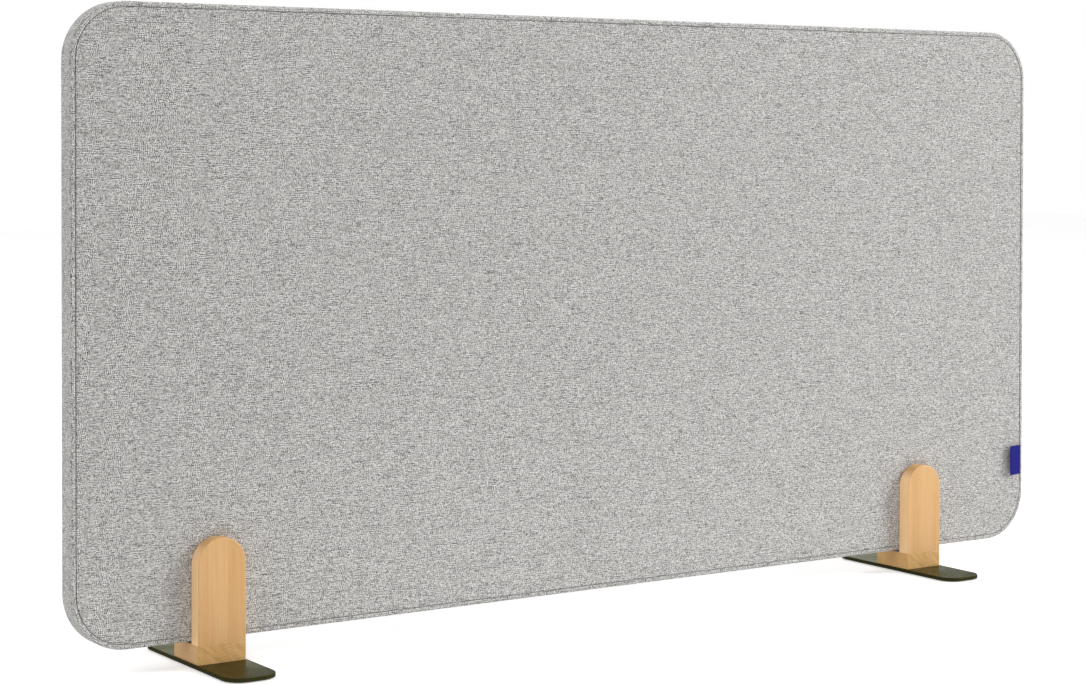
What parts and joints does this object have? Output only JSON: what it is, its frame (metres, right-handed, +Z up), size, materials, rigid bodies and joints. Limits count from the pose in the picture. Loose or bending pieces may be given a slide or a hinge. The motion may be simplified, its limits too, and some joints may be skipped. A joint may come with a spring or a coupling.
{
  "type": "acoustic divider screen",
  "caption": "Desk-top acoustic divider: a padded cloth panel with round corners held in two U-shaped wooden brackets on flat steel base plates.",
  "frame": {"origin": "on the desk, under the middle of the screen", "axes": "+X along the screen to the right seen from its front, +Y from the front to the back, +Z up"},
  "size_m": [1.2, 0.2, 0.625],
  "materials": {
    "cloth": "grey melange weave",
    "tab": "dark blue woven ribbon",
    "padding": "soft fibre",
    "frame_wood": "raw",
    "zip_tape": "grey woven tape",
    "zip_plastic": "satin",
    "zip_metal": "satin",
    "black_steel": "black satin powder coat",
    "beech": "satin lacquer, grain upright",
    "beech_block": "satin lacquer, end grain to the front",
    "screw_steel": "zinc plated",
    "pad_rubber": "matte",
    "felt": "pressed felt"
  },
  "bodies": {
    "panel": {"front_cover": "cloth", "rear_cover": "cloth", "border_strip": "cloth", "label_tab": "tab", "front_padding": "padding", "rear_padding": "padding", "core_board": "padding", "top_rail": "frame_wood", "bottom_rail": "frame_wood", "left_rail": "frame_wood", "right_rail": "frame_wood", "top_left_corner": "frame_wood", "top_right_corner": "frame_wood", "bottom_left_corner": "frame_wood", "bottom_right_corner": "frame_wood", "frame_dowels": "frame_wood", "zip_tapes": "zip_tape", "zip_coil": "zip_plastic", "zip_stops": "zip_metal"},
    "slider": {"zip_slider": "zip_metal"},
    "left_bracket": {"left_base_plate": "black_steel", "left_base_block": "beech_block", "left_front_upright": "beech", "left_rear_upright": "beech", "left_dowels": "frame_wood", "left_screws": "screw_steel", "left_foot_pads": "pad_rubber", "left_slot_pad": "felt"},
    "right_bracket": {"right_base_plate": "black_steel", "right_base_block": "beech_block", "right_front_upright": "beech", "right_rear_upright": "beech", "right_dowels": "frame_wood", "right_screws": "screw_steel", "right_foot_pads": "pad_rubber", "right_slot_pad": "felt"}
  },
  "joints": [
    {"name": "left_bracket_pull", "type": "slide", "parent": "panel", "child": "left_bracket", "axis": [0, 0, 1], "range_m": [-0.11, 0]},
    {"name": "right_bracket_pull", "type": "slide", "parent": "panel", "child": "right_bracket", "axis": [0, 0, 1], "range_m": [-0.11, 0]},
    {"name": "zip_slide", "type": "slide", "parent": "panel", "child": "slider", "axis": [1, 0, 0], "range_m": [-0.07, 0]}
  ]
}
